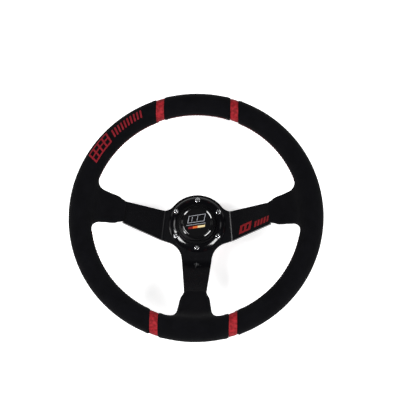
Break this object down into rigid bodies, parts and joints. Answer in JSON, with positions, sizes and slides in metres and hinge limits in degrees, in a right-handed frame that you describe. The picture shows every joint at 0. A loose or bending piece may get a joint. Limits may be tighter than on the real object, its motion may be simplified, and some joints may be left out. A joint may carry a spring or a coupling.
{
  "type": "quick release steering wheel",
  "caption": "Deep-dish three-spoke steering wheel in black suede with red bands and a sprung horn button, bolted to a ball-lock quick-release coupler with a splined column hub.",
  "frame": {"origin": "on the steering axis, on the column hub's lowest face", "axes": "+Z along the steering axis towards the driver, +Y to twelve o'clock, +X to the driver's right"},
  "size_m": [0.35, 0.35, 0.1372],
  "materials": {
    "suede": "black suede, matt with a fine nap",
    "red_leather": "red suede leather, matt",
    "foam": "moulded black foam, hidden",
    "hoop_steel": "bare steel, hidden",
    "black_alloy": "satin black anodised",
    "gloss_ring": "gloss black anodised",
    "black_anodised": "satin black anodised",
    "gloss_plastic": "gloss black",
    "emblem": "gloss black disc with plain printed bars",
    "bolt_steel": "bright zinc",
    "spring_steel": "oiled spring steel",
    "brass": "brass",
    "red_anodised": "red anodised",
    "ball_steel": "polished bearing steel",
    "hub_steel": "machined steel"
  },
  "bodies": {
    "wheel": {"spoke_frame": "black_alloy", "rim_hoop": "hoop_steel", "rim_foam": "foam", "suede_top": "suede", "suede_bottom": "suede", "suede_left": "suede", "suede_right": "suede", "band_top_left": "red_leather", "band_top_right": "red_leather", "band_bottom_left": "red_leather", "band_bottom_right": "red_leather", "horn_ring": "gloss_ring", "wheel_bolt_1": "bolt_steel", "wheel_bolt_2": "bolt_steel", "wheel_bolt_3": "bolt_steel", "wheel_bolt_4": "bolt_steel", "wheel_bolt_5": "bolt_steel", "wheel_bolt_6": "bolt_steel", "horn_housing": "gloss_plastic", "horn_contact_carrier": "gloss_plastic", "horn_contact_ring": "brass", "horn_spring": "spring_steel", "horn_terminal_live": "brass", "horn_terminal_earth": "brass", "coupler_hub": "black_anodised", "collar_spring": "spring_steel", "collar_clip": "spring_steel", "column_hub": "hub_steel"},
    "horn_button": {"horn_cap": "gloss_plastic", "horn_bezel": "gloss_plastic", "horn_emblem": "emblem", "horn_contact_plate": "brass"},
    "release_collar": {"release_collar": "red_anodised"},
    "ball_1": {"lock_ball_1": "ball_steel"},
    "ball_2": {"lock_ball_2": "ball_steel"},
    "ball_3": {"lock_ball_3": "ball_steel"},
    "ball_4": {"lock_ball_4": "ball_steel"},
    "ball_5": {"lock_ball_5": "ball_steel"},
    "ball_6": {"lock_ball_6": "ball_steel"}
  },
  "joints": [
    {"name": "horn_press", "type": "slide", "parent": "wheel", "child": "horn_button", "axis": [0, 0, -1], "range_m": [0, 0.0018], "stiffness_N_per_m": 1800, "springref_m": -0.004, "deforming": ["horn_spring"]},
    {"name": "collar_draw", "type": "slide", "parent": "wheel", "child": "release_collar", "axis": [0, 0, 1], "range_m": [0, 0.004], "stiffness_N_per_m": 2500, "springref_m": -0.004, "deforming": ["collar_spring"]},
    {"name": "ball_1_out", "type": "slide", "parent": "wheel", "child": "ball_1", "axis": [1, 0, 0], "range_m": [0, 0.002]},
    {"name": "ball_2_out", "type": "slide", "parent": "wheel", "child": "ball_2", "axis": [0.5, 0.866, 0], "range_m": [0, 0.002]},
    {"name": "ball_3_out", "type": "slide", "parent": "wheel", "child": "ball_3", "axis": [-0.5, 0.866, 0], "range_m": [0, 0.002]},
    {"name": "ball_4_out", "type": "slide", "parent": "wheel", "child": "ball_4", "axis": [-1, 0, 0], "range_m": [0, 0.002]},
    {"name": "ball_5_out", "type": "slide", "parent": "wheel", "child": "ball_5", "axis": [-0.5, -0.866, 0], "range_m": [0, 0.002]},
    {"name": "ball_6_out", "type": "slide", "parent": "wheel", "child": "ball_6", "axis": [0.5, -0.866, 0], "range_m": [0, 0.002]}
  ],
  "couplings": [
    {"joint": "ball_1_out", "follows": "collar_draw", "ratio": 0.5},
    {"joint": "ball_2_out", "follows": "collar_draw", "ratio": 0.5},
    {"joint": "ball_3_out", "follows": "collar_draw", "ratio": 0.5},
    {"joint": "ball_4_out", "follows": "collar_draw", "ratio": 0.5},
    {"joint": "ball_5_out", "follows": "collar_draw", "ratio": 0.5},
    {"joint": "ball_6_out", "follows": "collar_draw", "ratio": 0.5}
  ]
}
